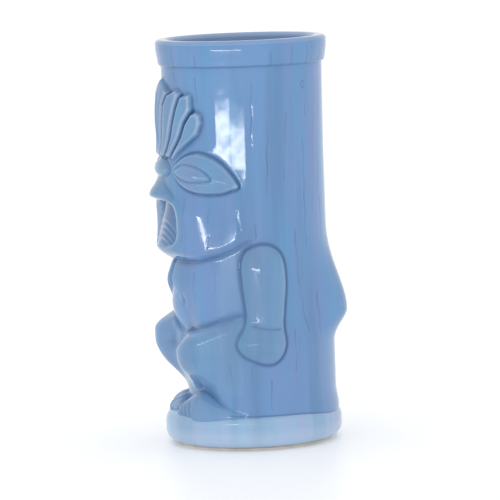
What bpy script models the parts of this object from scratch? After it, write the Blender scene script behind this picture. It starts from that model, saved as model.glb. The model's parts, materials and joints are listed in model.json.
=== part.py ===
"""Glazed ceramic tiki mug: a hollow carved-trunk tumbler with a squatting figure on its front.

The vessel is a foot disc, a hollow trunk and a lip band. The figure's leaves, face, body and
limbs are reliefs luted onto the trunk: each one's back follows the trunk's wall, and its front
is a rounded crown. The origin is the middle of the underside, +Z is up and the face looks
along -Y, so the figure's left arm is on +X.
A point of a wall is given by its turn from the face in degrees (positive towards +X), its
radius and its height. Lengths are in millimetres and become metres as each mesh is made.
"""

import math

import bmesh
import bpy
from mathutils.geometry import interpolate_bezier

MM = 0.001
JOINT_GAP = 0.35

# Vessel
HEIGHT = 171.5
WALL = 4.2
CUP_RADIUS = 30.8
FOOT_RADIUS = 37.6
FOOT_HEIGHT = 14.6
FOOT_EDGE_TOP = 3.0
FOOT_EDGE_BOTTOM = 5.0
FLOOR_THICKNESS = 6.2
FOOT_RING_OUTER = 33.4
FOOT_RING_INNER = 28.6
FOOT_RING_HEIGHT = 1.3
BAND_BOTTOM = 160.4
BAND_RADIUS_TOP = 36.2
BAND_RADIUS_BOTTOM = 35.3
LIP_ROUND = 1.9
TRUNK_RADIUS = 33.5
TRUNK_RADIUS_LOW = 35.7
TURN_STEPS = 48

# The swelling at the back and the nose reach equally far from the axis.
REACH = 41.4
SWELL_HEIGHT = 55.0
SWELL_TOP = 94.0
SWELL_BOTTOM = 41.0

# Figure
CHEST_TOP = 79.0
CHEST_WALL_RADIUS = 31.2
WAIST_WALL_RADIUS = 26.6
KNEE_RADIUS = 44.2
KNEE_TURN = 31.0
KNEE_HEIGHT = 44.5
MOUTH_BOTTOM = 86.6
ARCH_STEPS = 16
ARCH_SQUARENESS = 0.6
SIDES = (("left", 1), ("right", -1))

GLAZE_TRUNK = (0.16, 0.29, 0.49)
GLAZE_RELIEF = (0.20, 0.33, 0.54)
GLAZE_DEEP = (0.13, 0.25, 0.42)
GLAZE_FOOT = (0.27, 0.40, 0.60)
BARE_CLAY = (0.72, 0.68, 0.60)


def blend(t):
    """Smooth step from 0 to 1 as t goes from 0 to 1."""
    t = min(max(t, 0.0), 1.0)
    return t * t * (3 - 2 * t)


def ramp(value, start, end):
    return blend((value - start) / (end - start))


def place(turn, radius, height):
    angle = math.radians(turn)
    return (
        radius * math.sin(angle) * MM,
        -radius * math.cos(angle) * MM,
        height * MM,
    )


def trunk_radius(turn, height):
    """Outer wall of the trunk, under the reliefs."""
    away = abs(turn)
    thicker = TRUNK_RADIUS_LOW - TRUNK_RADIUS
    radius = TRUNK_RADIUS + thicker * ramp(height, SWELL_HEIGHT, SWELL_BOTTOM)
    radius += 0.7 * ramp(height, 126, 160)
    behind = ramp(away, 122, 162)
    rise = min(max((SWELL_TOP - height) / (SWELL_TOP - SWELL_HEIGHT), 0.0), 1.0)
    swelling = blend(rise**1.25) * ramp(height, SWELL_BOTTOM, SWELL_HEIGHT)
    radius += (REACH - TRUNK_RADIUS) * swelling * behind
    if height < SWELL_HEIGHT:
        radius -= thicker * swelling * behind
    beside = ramp(away, 75, 45)
    chest = beside * ramp(height, CHEST_TOP + 2, CHEST_TOP)
    hollow = TRUNK_RADIUS - CHEST_WALL_RADIUS
    radius -= hollow * chest
    waist = beside * ramp(height, 50, 34)
    return radius - (TRUNK_RADIUS_LOW - hollow - WAIST_WALL_RADIUS) * waist


def cup_radius(turn, height):
    return min(CUP_RADIUS, trunk_radius(turn, height) - WALL)


def clear_scene():
    for item in list(bpy.data.objects):
        bpy.data.objects.remove(item, do_unlink=True)


def glaze(name, colour):
    material = bpy.data.materials.new(name)
    material.use_nodes = True
    shader = material.node_tree.nodes["Principled BSDF"]
    shader.inputs["Base Color"].default_value = (*colour, 1)
    shader.inputs["Roughness"].default_value = 0.12
    shader.inputs["Metallic"].default_value = 0.0
    return material


def finish(name, mesh_data, colour):
    """Make the named object from a bmesh, faces out and shaded smooth."""
    bmesh.ops.recalc_face_normals(mesh_data, faces=mesh_data.faces)
    mesh = bpy.data.meshes.new(name)
    mesh_data.to_mesh(mesh)
    mesh_data.free()
    mesh.shade_smooth()
    mesh.set_sharp_from_angle(angle=math.radians(40))
    mesh.materials.append(glaze(name, colour))
    piece = bpy.data.objects.new(name, mesh)
    bpy.context.scene.collection.objects.link(piece)
    return piece


def add_ring(mesh_data, radius_at, height):
    """One ring of vertices round the axis. radius_at gives the radius for a turn."""
    ring = []
    for step in range(TURN_STEPS):
        turn = -180 + 360 * step / TURN_STEPS
        ring.append(mesh_data.verts.new(place(turn, radius_at(turn), height)))
    return ring


def bridge(mesh_data, lower, upper):
    count = len(lower)
    for step in range(count):
        after = (step + 1) % count
        mesh_data.faces.new((lower[step], lower[after], upper[after], upper[step]))


def turned(name, profile, colour, closed):
    """A body of rings. Each profile entry is (radius function, height).

    A closed profile joins its last ring to its first, as for a tube. An open one is capped."""
    mesh_data = bmesh.new()
    rings = [add_ring(mesh_data, radius_at, height) for radius_at, height in profile]
    for lower, upper in zip(rings, rings[1:]):
        bridge(mesh_data, lower, upper)
    if closed:
        bridge(mesh_data, rings[-1], rings[0])
    else:
        mesh_data.faces.new(rings[0])
        mesh_data.faces.new(rings[-1])
    return finish(name, mesh_data, colour)


def constant(radius):
    return lambda turn: radius


def rounded_edge(radius, height, size, start, end, steps):
    """Profile entries along a quarter round, centred at (radius - size, height)."""
    entries = []
    for step in range(steps + 1):
        angle = math.radians(start + (end - start) * step / steps)
        at = radius - size + size * math.cos(angle)
        entries.append((constant(at), height + size * math.sin(angle)))
    return entries


def make_foot_ring():
    """Bare ring that the mug stands on."""
    chamfer = 0.4
    profile = [
        (constant(FOOT_RING_INNER), FOOT_RING_HEIGHT),
        (constant(FOOT_RING_INNER), chamfer),
        (constant(FOOT_RING_INNER + chamfer), 0.0),
        (constant(FOOT_RING_OUTER - chamfer), 0.0),
        (constant(FOOT_RING_OUTER), chamfer),
        (constant(FOOT_RING_OUTER), FOOT_RING_HEIGHT),
    ]
    return turned("foot_ring", profile, BARE_CLAY, closed=True)


def make_plinth():
    """Foot disc with the cup's floor, and a shallow well above it."""
    well_top = FOOT_HEIGHT
    size = FOOT_EDGE_BOTTOM
    profile = [(constant(FOOT_RING_INNER), FOOT_RING_HEIGHT + JOINT_GAP)]
    profile += rounded_edge(FOOT_RADIUS, size + 1, size, -60, 0, 3)
    profile += rounded_edge(FOOT_RADIUS, well_top - FOOT_EDGE_TOP, FOOT_EDGE_TOP, 0, 90, 3)
    profile += [
        (lambda turn: cup_radius(turn, well_top), well_top),
        (lambda turn: cup_radius(turn, well_top) - 0.6, FLOOR_THICKNESS + 4.0),
        (lambda turn: cup_radius(turn, well_top) - 4.0, FLOOR_THICKNESS),
    ]
    return turned("plinth", profile, GLAZE_FOOT, closed=False)


def make_trunk():
    """Hollow trunk: a tube with the swelling at the back and hollows behind the chest and knees."""
    bottom = FOOT_HEIGHT + JOINT_GAP
    top = BAND_BOTTOM - JOINT_GAP
    outside = (bottom, 22, 29, 34, 38, 41, 44.5, 48, 51.5, 55, 59, 64, 69, 74, 78.5, 81.5, 86, 92)
    outside += (100, 120, 140, top)
    inside = (top, 130, 100, 84, 78, 68, 58, 50, 42, 34, 26, bottom)
    profile = []
    for height in outside:
        profile.append((lambda turn, at=height: trunk_radius(turn, at), height))
    for height in inside:
        profile.append((lambda turn, at=height: cup_radius(turn, at), height))
    return turned("trunk_shell", profile, GLAZE_TRUNK, closed=True)


def make_band():
    """Lip band: a ring that stands out from the trunk and ends in a rounded lip."""
    middle = CUP_RADIUS + LIP_ROUND
    profile = [
        (constant(CUP_RADIUS), BAND_BOTTOM),
        (constant(BAND_RADIUS_BOTTOM - 0.9), BAND_BOTTOM),
        (constant(BAND_RADIUS_BOTTOM), BAND_BOTTOM + 1.2),
        (constant(BAND_RADIUS_TOP - 0.2), HEIGHT - 6),
    ]
    profile += rounded_edge(BAND_RADIUS_TOP, HEIGHT - LIP_ROUND, LIP_ROUND, 0, 90, 3)
    profile += [
        (constant(middle - 0.6), HEIGHT),
        (constant(CUP_RADIUS + 0.4), HEIGHT - 1.4),
    ]
    return turned("rim_band", profile, GLAZE_TRUNK, closed=True)


def smooth_outline(corners, side, pieces=2):
    """Closed curve through the corner points, with this many steps between two of them."""
    points = []
    count = len(corners)
    for index in range(count):
        before, start, end, after = (corners[(index + k) % count] for k in (-1, 0, 1, 2))
        leave = [s + (e - b) / 6 for b, s, e in zip(before, start, end)]
        arrive = [e - (a - s) / 6 for s, e, a in zip(start, end, after)]
        curve = interpolate_bezier(
            (*start, 0), (*leave, 0), (*arrive, 0), (*end, 0), pieces + 1
        )
        points += [(side * point[0], point[1]) for point in curve[:-1]]
    return points


def relief(name, corners, crown, colour, side=1, back=trunk_radius, rings=(1, 0.86, 0.5)):
    """A closed relief on the wall.

    corners is its outline as (turn, height) points, back the wall it sits on, and
    crown(turn, height, inset) the radius of its front, where inset goes from 0 on the
    outline to 1 in the middle. turn is counted on the figure's left for either side."""
    outline = smooth_outline(corners, side)
    middle = [sum(point[k] for point in outline) / len(outline) for k in (0, 1)]
    mesh_data = bmesh.new()

    def vertex_pair(turn, height, inset):
        wall = back(side * turn, height) + JOINT_GAP
        front = max(crown(side * turn, height, inset), wall + 0.4)
        lower = mesh_data.verts.new(place(turn, wall, height))
        upper = mesh_data.verts.new(place(turn, front, height))
        return lower, upper

    loops = []
    for scale in rings:
        loop = []
        for point in outline:
            turn, height = (m + scale * (p - m) for p, m in zip(point, middle))
            loop.append(vertex_pair(turn, height, 1 - scale))
        loops.append(loop)
    centre = vertex_pair(middle[0], middle[1], 1)
    for face in (0, 1):
        for outer, inner in zip(loops, loops[1:]):
            bridge(mesh_data, [pair[face] for pair in outer], [pair[face] for pair in inner])
        ring = [pair[face] for pair in loops[-1]]
        for step, vertex in enumerate(ring):
            mesh_data.faces.new((vertex, ring[(step + 1) % len(ring)], centre[face]))
    bridge(mesh_data, [pair[0] for pair in loops[0]], [pair[1] for pair in loops[0]])
    return finish(name, mesh_data, colour)


def pillow(height_above, edge=0.35):
    """Crown this far above the trunk's wall, with rounded shoulders."""
    def crown(turn, height, inset):
        round_off = math.sqrt(1 - (1 - inset) ** 2 * (1 - edge**2))
        return trunk_radius(turn, height) + JOINT_GAP + height_above * round_off

    return crown


def make_leaves():
    """Crest of seven leaves that fan out from the brow bead."""
    centre = [(0, 155.6), (5.2, 149.4), (7.4, 141), (6.2, 132), (3.8, 123.9)]
    centre += [(-turn, height) for turn, height in reversed(centre[1:])]
    relief("leaf_centre", centre, pillow(3.9), GLAZE_RELIEF)
    leaves = {
        "inner": [(5.4, 124.2), (7.8, 132), (9.8, 140.4), (13, 148), (18.6, 151.6), (24.8, 150.2)]
        + [(24.6, 146), (20.6, 139.5), (17, 132), (11.2, 124.6)],
        "middle": [(12.6, 124.2), (18.6, 131.8), (22.2, 139.2), (26.4, 146.4), (31, 150)]
        + [(37.6, 147.4), (35, 141), (31, 136), (25, 130.4), (16.4, 123.7)],
        "outer": [(17.8, 123.2), (26.6, 130), (32.4, 135.2), (36.6, 140.4), (42, 142.4)]
        + [(46.8, 139), (43.4, 133.8), (34, 128.6), (27, 126.1), (21, 122.7)],
    }
    rises = {"inner": 3.4, "middle": 3.0, "outer": 2.6}
    for side_name, side in SIDES:
        for place_name, corners in leaves.items():
            name = f"leaf_{side_name}_{place_name}"
            relief(name, corners, pillow(rises[place_name]), GLAZE_RELIEF, side)


def make_bead():
    bead = [(0, 122.8), (9, 122), (15.6, 119.6), (17, 117), (13, 114.9), (0, 114.2)]
    bead += [(-turn, height) for turn, height in reversed(bead[1:-1])]
    relief("brow_bead", bead, pillow(4.6), GLAZE_RELIEF)


def nose_crown(turn, height, inset):
    """Widest reach just above the nostrils, sloping back up to the bead."""
    slope = 37.4 + (REACH - 37.4) * ramp(height, 114, 107.6)
    shoulder = ramp(abs(turn), 19, 6)
    under = ramp(height, 104.6, 106.4)
    return TRUNK_RADIUS + 1.6 + (slope - TRUNK_RADIUS - 1.6) * shoulder * (0.6 + 0.4 * under)


def make_nose():
    nose = [(0, 113.7), (8, 113.8), (14, 113.2), (18.4, 109.6), (19.6, 106.4), (13, 105.3)]
    nose += [(0, 105.0)]
    nose += [(-turn, height) for turn, height in reversed(nose[1:-1])]
    relief("nose", nose, nose_crown, GLAZE_RELIEF, rings=(1, 0.8, 0.45))


def eye_crown(turn, height, inset):
    """Bulge of the eye: an ellipsoid cap on the wall, also the wall behind the pupil."""
    across = (turn - 43) / 27
    up = (height - 115.6) / 12
    return TRUNK_RADIUS + JOINT_GAP + 0.7 + 2.3 * max(1 - across * across - up * up, 0.0)


def eye_back(turn, height):
    return eye_crown(abs(turn), height, 0)


def pupil_crown(turn, height, inset):
    return eye_crown(turn, height, inset) + JOINT_GAP + 0.5 + 0.5 * blend(2 * inset)


def make_eyes():
    """Drooping almond eyes, each with a raised teardrop pupil."""
    almond = [(22, 117.6), (26, 121.8), (33, 124.4), (42, 125.5), (50, 124), (57, 121.8)]
    almond += [(64, 118), (71.5, 111.2), (66, 109.2), (56, 107.8), (42, 108.3), (30, 111.4)]
    tear = [(26, 117.8), (31, 120), (38, 120.3), (46, 118.6), (52.4, 114.4), (48, 113.4)]
    tear += [(39, 113.4), (30, 114.9)]
    for side_name, side in SIDES:
        relief(f"eye_{side_name}", almond, eye_crown, GLAZE_RELIEF, side)
        name = f"pupil_{side_name}"
        relief(name, tear, pupil_crown, GLAZE_RELIEF, side, eye_back, rings=(1, 0.6))


def cheek_crown(turn, height, inset):
    """Full beside the mouth and thinning towards the ear and the eye."""
    fullness = ramp(turn, 80, 30) * (0.55 + 0.45 * ramp(height, 106, 96))
    return TRUNK_RADIUS + 0.9 + 2.9 * fullness * (0.8 + 0.2 * blend(3 * inset))


def make_cheeks():
    cheek = [(31.6, 83), (31.4, 94), (31.2, 104.6), (40, 107), (55, 106.4), (70, 107.4)]
    cheek += [(79, 102), (80, 94), (76, 88.6), (66, 85.4), (55, 82.8), (42, 81.4)]
    for side_name, side in SIDES:
        relief(f"cheek_{side_name}", cheek, cheek_crown, GLAZE_TRUNK, side)


def make_mouth():
    """Arched mouth: the rim round its top and sides, the grooved tongue and the lower lip."""
    arch("mouth_rim", arch_curve(30.0, 18.0), arch_curve(25.2, 15.4), 38.2, GLAZE_RELIEF)
    tongue = [(0, 101.4), (10, 101), (19, 99), (23.4, 95), (24, 90), (22, 87.2), (0, 86.4)]
    tongue += [(-turn, height) for turn, height in reversed(tongue[1:-1])]
    relief("tongue", tongue, tongue_crown, GLAZE_DEEP)
    lip = [(0, 85.9), (14, 86), (26, 85.8), (30.8, 84), (29.6, 81.6), (18, 80.4), (0, 80.2)]
    lip += [(-turn, height) for turn, height in reversed(lip[1:-1])]
    relief("lower_lip", lip, pillow(5.2, 0.6), GLAZE_RELIEF)


def tongue_crown(turn, height, inset):
    """Plate that leans out from the top of the mouth to the lower lip."""
    return 34.7 + 3.6 * ramp(height, 100, 87) * ramp(abs(turn), 34, 10)


def arch_curve(half_turn, rise):
    """Points of a squarish arch that stands on the lower lip."""
    points = []
    for step in range(ARCH_STEPS + 1):
        angle = math.pi * step / ARCH_STEPS
        across = math.copysign(abs(math.cos(angle)) ** ARCH_SQUARENESS, math.cos(angle))
        up = math.sin(angle) ** ARCH_SQUARENESS
        points.append((half_turn * across, MOUTH_BOTTOM + rise * up))
    return points


def arch(name, outside, inside, radius, colour):
    """Open band between two curves of the wall, from the trunk out to the radius."""
    mesh_data = bmesh.new()
    sections = []
    for outer, inner in zip(outside, inside):
        centre = [(a + b) / 2 for a, b in zip(outer, inner)]
        wall = [trunk_radius(*point) + JOINT_GAP for point in (outer, inner)]
        section = (
            place(outer[0], wall[0], outer[1]),
            place(outer[0], radius - 1.6, outer[1]),
            place(centre[0], radius, centre[1]),
            place(inner[0], radius - 1.6, inner[1]),
            place(inner[0], wall[1], inner[1]),
        )
        sections.append([mesh_data.verts.new(point) for point in section])
    for start, end in zip(sections, sections[1:]):
        bridge(mesh_data, start, end)
    mesh_data.faces.new(sections[0])
    mesh_data.faces.new(sections[-1])
    return finish(name, mesh_data, colour)


def chest_crown(turn, height, inset):
    """Rounded breast, deepest beside the middle and sinking at the middle and at the arm."""
    breast = ramp(turn, 0, 12) * ramp(turn, 76, 40)
    sag = 0.6 + 0.4 * ramp(height, 58, 72)
    return CHEST_WALL_RADIUS + 1.2 + 3.2 * (0.45 + 0.55 * breast) * sag * (0.7 + 0.3 * blend(3 * inset))


def make_torso():
    chest = [(1.4, 77.6), (12, 78.4), (30, 77.8), (46, 78.6), (60, 80.4), (66, 81.6), (67.4, 74)]
    chest += [(67, 59.8), (54, 57.2), (42, 55.2), (33.5, 53.6), (26, 58.6), (20, 62.6), (9, 64.6)]
    chest += [(1.4, 65.6), (1, 69.6), (1, 73.6)]
    for side_name, side in SIDES:
        relief(f"chest_{side_name}", chest, chest_crown, GLAZE_TRUNK, side)
    belly = [(0, 64.6), (8, 63.4), (18, 61.2), (23, 57.6), (27, 53.4), (17, 50.8), (0, 49.8)]
    belly += [(-turn, height) for turn, height in reversed(belly[1:-1])]
    relief("belly", belly, pillow(2.8), GLAZE_TRUNK)


def make_arms():
    """Upper arms with rounded shoulders, and fists resting on the thighs."""
    arm = [(72, 54), (71.4, 66), (71.8, 78), (76, 84.8), (86, 87.4), (96, 84.8), (100, 78)]
    arm += [(100.4, 66), (99.6, 54), (86, 52.4)]
    fist = [(70, 51.4), (86, 51.6), (99, 51.4), (100, 46), (97, 40), (86, 36.9), (75, 39)]
    fist += [(70, 45)]
    for side_name, side in SIDES:
        relief(f"arm_{side_name}", arm, pillow(4.4), GLAZE_RELIEF, side)
        relief(f"fist_{side_name}", fist, pillow(4.6), GLAZE_RELIEF, side)


def leg_crown(turn, height, inset):
    """Knee high at the front, thigh running back to the hip, shin receding to the ankle."""
    along = ramp(turn, 68, KNEE_TURN)
    knee = TRUNK_RADIUS_LOW + 1.6 + (KNEE_RADIUS - TRUNK_RADIUS_LOW - 1.6) * along
    above = ramp(height, 58, KNEE_HEIGHT + 1)
    ankle = WAIST_WALL_RADIUS + 2.6 + 7.5 * ramp(turn, 34, 62)
    shin = ramp(height, 25, KNEE_HEIGHT - 3)
    radius = ankle + (knee - ankle) * shin
    inside = 2.6 * ramp(KNEE_TURN - turn, 2, 14)
    return radius - 5.2 * (1 - above) * along - inside - 1.4 * (1 - blend(4 * inset))


def leg_back(turn, height):
    """The wall behind a leg bends quickly, so the leg stands a little further off it."""
    return trunk_radius(turn, height) + 0.3


def make_legs():
    leg = [(14.5, 43), (20, 47.6), (31, 51.2), (42, 53.4), (54, 55.4), (67, 57.6), (68.4, 50)]
    leg += [(68.6, 40), (68.4, 30), (66, 20.6), (56, 22.4), (46, 24.6), (36, 27.6), (25, 30)]
    leg += [(17, 36)]
    for side_name, side in SIDES:
        name = f"leg_{side_name}"
        rings = (1, 0.88, 0.66, 0.44, 0.22)
        relief(name, leg, leg_crown, GLAZE_RELIEF, side, leg_back, rings)


def foot_crown(turn, height, inset):
    """Instep that slopes from the ankle out to the toes on the plinth's edge."""
    return WAIST_WALL_RADIUS + 2.8 + 6.0 * ramp(height, 27.5, 16.6) + 3.0 * ramp(turn, 40, 64)


def make_feet():
    foot = [(6.5, 15.2), (9, 20), (15, 24.6), (24, 28.6), (34, 25.8), (44, 22.8), (54, 20.6)]
    foot += [(63, 18.6), (64, 15.3), (48, 15.1), (26, 15.1)]
    for side_name, side in SIDES:
        relief(f"foot_{side_name}", foot, foot_crown, GLAZE_RELIEF, side)


def main():
    clear_scene()
    make_foot_ring()
    make_plinth()
    make_trunk()
    make_band()
    make_leaves()
    make_bead()
    make_nose()
    make_eyes()
    make_cheeks()
    make_mouth()
    make_torso()
    make_arms()
    make_legs()
    make_feet()


main()
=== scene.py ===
"""Looks of the glazed tiki mug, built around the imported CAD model.

The whole outside is one sculpted skin: a radius for every turn round the axis and every
height. Each relief raises or cuts that skin, soft fillets join them, and the skin is then
divided along its creases into closed pieces, one for each CAD node. Neighbouring pieces
share their edge points and normals, so the fired body shows no joints.
A turn is in degrees from the face, positive towards the figure's left arm (+X). Lengths
are in millimetres until a mesh is made.
"""

import json
import math

import bpy
import numpy as np
from mathutils import Matrix


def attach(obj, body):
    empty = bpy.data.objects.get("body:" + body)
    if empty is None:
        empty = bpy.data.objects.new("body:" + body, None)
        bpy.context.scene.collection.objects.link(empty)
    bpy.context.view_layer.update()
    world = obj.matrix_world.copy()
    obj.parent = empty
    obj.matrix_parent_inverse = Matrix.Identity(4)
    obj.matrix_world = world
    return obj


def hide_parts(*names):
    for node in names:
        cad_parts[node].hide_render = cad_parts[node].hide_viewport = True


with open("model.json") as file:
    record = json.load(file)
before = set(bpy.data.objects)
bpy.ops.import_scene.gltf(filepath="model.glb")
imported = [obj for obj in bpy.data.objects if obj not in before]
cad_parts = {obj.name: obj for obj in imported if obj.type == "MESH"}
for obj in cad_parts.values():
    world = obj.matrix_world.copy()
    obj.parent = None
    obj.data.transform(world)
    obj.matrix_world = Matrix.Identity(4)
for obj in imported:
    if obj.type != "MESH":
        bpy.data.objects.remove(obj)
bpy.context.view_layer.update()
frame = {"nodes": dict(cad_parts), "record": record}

MM = 0.001
SEED = 11
# The CAD wall is read within this many degrees of a turn.
WALL_REACH = 5

# ---- sizes read from the CAD nodes


def node_points(node):
    """Turn, height and radius of each of a CAD node's points."""
    mesh = frame["nodes"][node].data
    points = np.empty(len(mesh.vertices) * 3)
    mesh.vertices.foreach_get("co", points)
    x, y, z = points.reshape(-1, 3).T / MM
    return np.degrees(np.arctan2(x, -y)), z, np.hypot(x, y)


def node_range(node):
    """Lowest and highest turn, height and radius of a CAD node."""
    return [(values.min(), values.max()) for values in node_points(node)]


def wall_radii(turn, low, high):
    """Inner and outer radius of the CAD trunk near a turn, between two heights."""
    turns, heights, radii = node_points("trunk_shell")
    near = (np.abs(turns - turn) < WALL_REACH) & (heights > low) & (heights < high)
    return radii[near].min(), radii[near].max()


(_, (LEDGE_UNDER, LEDGE), (_, FOOT_R)) = node_range("plinth")
(_, (BAND_BOTTOM, TOP), (CUP_R, BAND_R)) = node_range("rim_band")
(_, _, (_, REACH)) = node_range("trunk_shell")
(_, (_, RING_TOP), (RING_IN, RING_OUT)) = node_range("foot_ring")
# Each wall is read at a turn, between two heights.
(_, TRUNK_R) = wall_radii(90, 54.9, 121)
(_, LOW_R) = wall_radii(90, 14, 42)
(_, WAIST_R) = wall_radii(0, 14, 35)
(CHEST_CUP_R, CHEST_WALL_R) = wall_radii(0, 54.5, 79)
((_, MOUTH_TURN), (MOUTH_LOW, MOUTH_HIGH), _) = node_range("mouth_rim")
((_, NOSE_TURN), (NOSE_LOW, NOSE_HIGH), (_, NOSE_R)) = node_range("nose")
(_, _, (_, KNEE_R)) = node_range("leg_left")
WALL = CHEST_WALL_R - CHEST_CUP_R

# ---- the grid of the skin

# Columns are close together over the figure and wider apart round the back.
FINE_STEP = 0.5
FINE_LIMIT = 112
COARSE_STEP = 0.8
ROW_STEP = 0.5
ROWS_BELOW = 4
ROWS_ABOVE = 2
# Mean radius of the skin, at which a degree is turned into mm.
MEAN_R = 36
DEGREE_MM = math.radians(1) * MEAN_R
# Distances to an outline are worked out this far round it, and are FAR beyond that.
MARGIN = 9.0
FAR = 30.0

coarse_count = round((180 - FINE_LIMIT) / COARSE_STEP) + 1
half_turns = np.concatenate(
    [np.arange(0, FINE_LIMIT, FINE_STEP), np.linspace(FINE_LIMIT, 180, coarse_count)]
)
row_heights = np.arange(LEDGE - ROWS_BELOW, BAND_BOTTOM + ROWS_ABOVE, ROW_STEP)
TURN, HEIGHT = np.meshgrid(half_turns, row_heights)


def blend(t):
    """Smooth rise from 0 to 1 that is level at both ends."""
    t = np.clip(t, 0, 1)
    return t * t * (3 - 2 * t)


def ramp(value, start, end):
    """Smooth step from 0 at start to 1 at end."""
    return blend((value - start) / (end - start))


def shoulder(t):
    """Round rise from 0 to 1, steep at first, like the edge of a cushion."""
    return np.sqrt(1 - (1 - np.clip(t, 0, 1)) ** 2)


def swell_up(t):
    """Softer rise from 0 to 1 that is level at its end."""
    return np.sin(np.clip(t, 0, 1) * math.pi / 2)


def bell(value, centre, width):
    """Bump of height 1 at the centre."""
    return np.exp(-(((value - centre) / width) ** 2))


def through(value, points):
    """Smooth curve through (position, level) points, level beyond its ends."""
    at, level = np.array(sorted(points), float).T
    slope = np.gradient(level, at)
    place = np.clip(value, at[0], at[-1])
    index = np.clip(np.searchsorted(at, place, side="right") - 1, 0, len(at) - 2)
    gap = at[index + 1] - at[index]
    t = (place - at[index]) / gap
    start = (1 + 2 * t) * (1 - t) ** 2 * level[index] + t * (1 - t) ** 2 * gap * slope[index]
    end = t * t * (3 - 2 * t) * level[index + 1] - t * t * (1 - t) * gap * slope[index + 1]
    return start + end


def soft_max(a, b, fillet):
    """The larger of two radii, joined by a fillet about this wide."""
    return (a + b + np.sqrt((a - b) ** 2 + fillet**2)) / 2


def blurred(values, rows, columns, wrap):
    """Gaussian blur by this many rows and columns."""
    for axis, sigma in ((0, rows), (1, columns)):
        reach = int(3 * sigma) + 1
        weights = np.exp(-0.5 * (np.arange(-reach, reach + 1) / sigma) ** 2)
        mode = "wrap" if axis and wrap else "reflect" if axis else "edge"
        pad = [(0, 0), (0, 0)]
        pad[axis] = (reach, reach)
        padded = np.pad(values, pad, mode=mode)
        count = values.shape[axis]
        total = 0
        for offset, weight in enumerate(weights / weights.sum()):
            part = slice(offset, offset + count)
            total = total + weight * (padded[:, part] if axis else padded[part])
        values = total
    return values


# ---- outlines


def outline_of(node):
    """Closed outline of a relief, as (turn, height) points: the edge of the CAD node's
    faces that look outwards."""
    turns, heights, _ = node_points(node)
    flat = np.stack([turns, heights], 1)
    _, first, label = np.unique(np.round(flat, 2), axis=0, return_index=True, return_inverse=True)
    mesh = frame["nodes"][node].data
    mesh.calc_loop_triangles()
    corners = np.array([triangle.vertices for triangle in mesh.loop_triangles])
    a, b, c = (flat[corners[:, k]] for k in range(3))
    area = np.cross(b - a, c - a)
    faces = label.reshape(-1)[corners[area > 1e-3]]
    edges = {(int(f[k]), int(f[(k + 1) % 3])) for f in faces for k in range(3)}
    after = {start: end for start, end in edges if (end, start) not in edges}
    start = min(after)
    chain = [start]
    while after[chain[-1]] != start:
        chain.append(after[chain[-1]])
    return flat[first[chain]]


def smoothed_outline(points, pieces=4):
    """Closed Catmull-Rom curve through the points."""
    before, ahead, beyond = (np.roll(points, shift, 0) for shift in (1, -1, -2))
    curve = []
    for step in range(pieces):
        t = step / pieces
        linear = (ahead - before) * t
        square = (2 * before - 5 * points + 4 * ahead - beyond) * t**2
        cubic = (3 * points - before - 3 * ahead + beyond) * t**3
        curve.append(0.5 * (2 * points + linear + square + cubic))
    return np.stack(curve, 1).reshape(-1, 2)


def inside_distance(outline):
    """Distance in mm from the grid's points to a closed outline, positive inside it."""
    loop = outline * (DEGREE_MM, 1)
    low, high = loop.min(0) - MARGIN, loop.max(0) + MARGIN
    across = half_turns * DEGREE_MM
    rows = np.nonzero((row_heights > low[1]) & (row_heights < high[1]))[0]
    columns = np.nonzero((across > low[0]) & (across < high[0]))[0]
    window = np.ix_(rows, columns)
    x, z = np.meshgrid(across[columns], row_heights[rows])
    nearest = np.full(x.shape, FAR**2)
    inside = np.zeros(x.shape, bool)
    for (x0, z0), (x1, z1) in zip(loop, np.roll(loop, -1, 0)):
        dx, dz = x1 - x0, z1 - z0
        along = np.clip(((x - x0) * dx + (z - z0) * dz) / (dx * dx + dz * dz + 1e-12), 0, 1)
        nearest = np.minimum(nearest, (x - x0 - along * dx) ** 2 + (z - z0 - along * dz) ** 2)
        crosses = (z0 > z) != (z1 > z)
        inside ^= crosses & (x < x0 + (z - z0) * dx / (dz if dz else 1e-12))
    result = np.full(TURN.shape, -FAR)
    result[window] = np.where(inside, 1, -1) * np.sqrt(nearest)
    return result


def inside_node(node):
    return inside_distance(smoothed_outline(outline_of(node)))


# ---- the bare trunk

# The swelling at the back: its fullest height, where it ends above and below, the turns
# where it starts and is full, and how fast it falls off upwards.
SWELL = 55.0
SWELL_TOP = 94.0
SWELL_LOW = 41.0
SWELL_TURNS = (122, 162)
SWELL_FALL = 1.25
# Above this height the trunk widens by this much for each mm, after a bend this soft.
FLARE_START = 124.0
FLARE = 0.016
FLARE_BEND = 3.0
# Behind the figure the wall is hollowed. The hollows fade in over these turns and heights.
HOLLOW_TURNS = (75, 45)
CHEST_HOLLOW = (81, 79)
KNEE_HOLLOW = (50, 34)


def trunk_wall(turn, height):
    """The CAD trunk's outer wall, which lies under every relief."""
    thicker = LOW_R - TRUNK_R
    radius = TRUNK_R + thicker * ramp(height, SWELL, SWELL_LOW)
    radius = radius + FLARE * FLARE_BEND * np.logaddexp(0, (height - FLARE_START) / FLARE_BEND)
    rise = np.clip((SWELL_TOP - height) / (SWELL_TOP - SWELL), 0, 1) ** SWELL_FALL
    swelling = blend(rise) * ramp(height, SWELL_LOW, SWELL) * ramp(turn, *SWELL_TURNS)
    return radius + (REACH - radius) * swelling


def hollowed_wall(turn, height):
    """The same wall with the hollows behind the chest and the knees."""
    beside = ramp(turn, *HOLLOW_TURNS)
    hollow = TRUNK_R - CHEST_WALL_R
    radius = trunk_wall(turn, height) - hollow * beside * ramp(height, *CHEST_HOLLOW)
    return radius - (LOW_R - hollow - WAIST_R) * beside * ramp(height, *KNEE_HOLLOW)


# ---- the sculpted skin


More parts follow.
